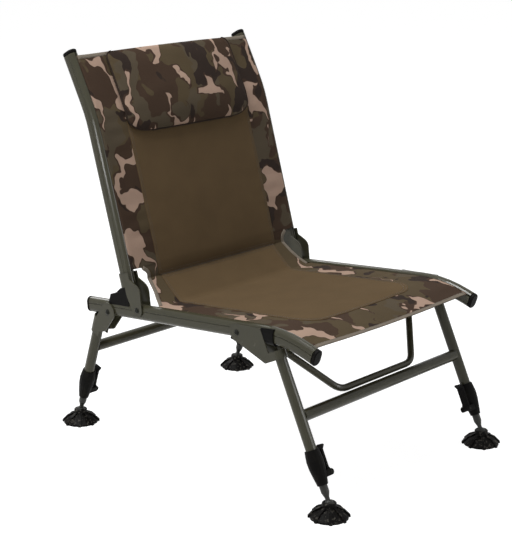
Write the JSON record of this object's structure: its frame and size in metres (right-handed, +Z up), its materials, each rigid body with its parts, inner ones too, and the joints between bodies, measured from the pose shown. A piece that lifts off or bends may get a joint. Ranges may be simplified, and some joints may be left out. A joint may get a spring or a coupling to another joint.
{
  "type": "folding fishing chair",
  "caption": "Low folding sling chair with a padded headrest, a hinged back, folding legs that telescope with lever clamps, and tilting mud feet.",
  "frame": {"origin": "on the ground, on the centre plane, midway between the front and rear feet", "axes": "+X to the sitter's left, +Y towards the back of the chair, +Z up; the chair faces -Y"},
  "size_m": [0.57, 0.7868, 0.8073],
  "materials": {
    "frame_paint": "satin grey-green powder coat",
    "rivet_steel": "grey-green coated steel",
    "inner_leg_steel": "dark satin coat, rubbed where it slides",
    "black_plastic": "fine-grained black moulding",
    "camouflage_cloth": null,
    "olive_cloth": "plain brown-olive woven polyester"
  },
  "bodies": {
    "seat_frame": {"rail_right": "frame_paint", "rail_front_cap_right": "black_plastic", "rail_rear_cap_right": "black_plastic", "back_stop_right": "black_plastic", "front_leg_stop_right": "black_plastic", "rail_left": "frame_paint", "rail_front_cap_left": "black_plastic", "rail_rear_cap_left": "black_plastic", "back_stop_left": "black_plastic", "front_leg_stop_left": "black_plastic", "seat_fabric": "camouflage_cloth"},
    "backrest": {"back_tube_right": "frame_paint", "back_bracket_right": "frame_paint", "back_rivet_right": "rivet_steel", "back_cap_right": "black_plastic", "back_tube_left": "frame_paint", "back_bracket_left": "frame_paint", "back_rivet_left": "rivet_steel", "back_cap_left": "black_plastic", "back_spreader_bar": "frame_paint", "back_fabric": "camouflage_cloth", "crease_fabric": "olive_cloth", "headrest_pad": "camouflage_cloth"},
    "front_legs": {"leg_tube_front_right": "frame_paint", "leg_bracket_front_right": "frame_paint", "leg_rivet_front_right": "rivet_steel", "clamp_body_front_right": "black_plastic", "clamp_pin_front_right": "rivet_steel", "leg_tube_front_left": "frame_paint", "leg_bracket_front_left": "frame_paint", "leg_rivet_front_left": "rivet_steel", "clamp_body_front_left": "black_plastic", "clamp_pin_front_left": "rivet_steel", "front_crossbar": "frame_paint", "front_brace": "frame_paint"},
    "front_right_inner_leg": {"inner_leg_front_right": "inner_leg_steel"},
    "front_right_lever": {"clamp_lever_front_right": "black_plastic"},
    "front_right_foot": {"foot_front_right": "black_plastic"},
    "front_left_inner_leg": {"inner_leg_front_left": "inner_leg_steel"},
    "front_left_lever": {"clamp_lever_front_left": "black_plastic"},
    "front_left_foot": {"foot_front_left": "black_plastic"},
    "rear_legs": {"leg_tube_rear_right": "frame_paint", "leg_bracket_rear_right": "frame_paint", "leg_rivet_rear_right": "rivet_steel", "clamp_body_rear_right": "black_plastic", "clamp_pin_rear_right": "rivet_steel", "leg_tube_rear_left": "frame_paint", "leg_bracket_rear_left": "frame_paint", "leg_rivet_rear_left": "rivet_steel", "clamp_body_rear_left": "black_plastic", "clamp_pin_rear_left": "rivet_steel", "rear_crossbar": "frame_paint"},
    "rear_right_inner_leg": {"inner_leg_rear_right": "inner_leg_steel"},
    "rear_right_lever": {"clamp_lever_rear_right": "black_plastic"},
    "rear_right_foot": {"foot_rear_right": "black_plastic"},
    "rear_left_inner_leg": {"inner_leg_rear_left": "inner_leg_steel"},
    "rear_left_lever": {"clamp_lever_rear_left": "black_plastic"},
    "rear_left_foot": {"foot_rear_left": "black_plastic"}
  },
  "joints": [
    {"name": "backrest_fold", "type": "hinge", "parent": "seat_frame", "child": "backrest", "pos_m": [0, 0.14949, 0.29695], "axis": [1, 0, 0], "range_deg": [0, 94], "deforming": ["crease_fabric"]},
    {"name": "front_leg_fold", "type": "hinge", "parent": "seat_frame", "child": "front_legs", "pos_m": [0, -0.13037, 0.31357], "axis": [1, 0, 0], "range_deg": [0, 104]},
    {"name": "front_right_leg_slide", "type": "slide", "parent": "front_legs", "child": "front_right_inner_leg", "axis": [0, 0.4305, 0.9026], "range_m": [-0.12, 0]},
    {"name": "front_right_lever_open", "type": "hinge", "parent": "front_legs", "child": "front_right_lever", "pos_m": [-0.2225, -0.32972, 0.07564], "axis": [0, 0.9026, -0.4305], "range_deg": [0, 100]},
    {"name": "front_right_foot_tilt", "type": "hinge", "parent": "front_right_inner_leg", "child": "front_right_foot", "pos_m": [-0.245, -0.3534, 0.026], "axis": [1, 0, 0], "range_deg": [-50, 6]},
    {"name": "front_left_leg_slide", "type": "slide", "parent": "front_legs", "child": "front_left_inner_leg", "axis": [0, 0.4305, 0.9026], "range_m": [-0.12, 0]},
    {"name": "front_left_lever_open", "type": "hinge", "parent": "front_legs", "child": "front_left_lever", "pos_m": [0.2225, -0.32972, 0.07564], "axis": [0, -0.9026, 0.4305], "range_deg": [0, 100]},
    {"name": "front_left_foot_tilt", "type": "hinge", "parent": "front_left_inner_leg", "child": "front_left_foot", "pos_m": [0.245, -0.3534, 0.026], "axis": [1, 0, 0], "range_deg": [-50, 6]},
    {"name": "rear_leg_fold", "type": "hinge", "parent": "seat_frame", "child": "rear_legs", "pos_m": [0, 0.23924, 0.27506], "axis": [1, 0, 0], "range_deg": [-105, 0]},
    {"name": "rear_right_leg_slide", "type": "slide", "parent": "rear_legs", "child": "rear_right_inner_leg", "axis": [0, 0.3156, -0.9489], "range_m": [0, 0.12]},
    {"name": "rear_right_lever_open", "type": "hinge", "parent": "rear_legs", "child": "rear_right_lever", "pos_m": [-0.2225, 0.33603, 0.07819], "axis": [0, 0.9489, 0.3156], "range_deg": [0, 100]},
    {"name": "rear_right_foot_tilt", "type": "hinge", "parent": "rear_right_inner_leg", "child": "rear_right_foot", "pos_m": [-0.245, 0.3534, 0.026], "axis": [1, 0, 0], "range_deg": [-13, 45]},
    {"name": "rear_left_leg_slide", "type": "slide", "parent": "rear_legs", "child": "rear_left_inner_leg", "axis": [0, 0.3156, -0.9489], "range_m": [0, 0.12]},
    {"name": "rear_left_lever_open", "type": "hinge", "parent": "rear_legs", "child": "rear_left_lever", "pos_m": [0.2225, 0.33603, 0.07819], "axis": [0, -0.9489, -0.3156], "range_deg": [0, 100]},
    {"name": "rear_left_foot_tilt", "type": "hinge", "parent": "rear_left_inner_leg", "child": "rear_left_foot", "pos_m": [0.245, 0.3534, 0.026], "axis": [1, 0, 0], "range_deg": [-13, 45]}
  ]
}
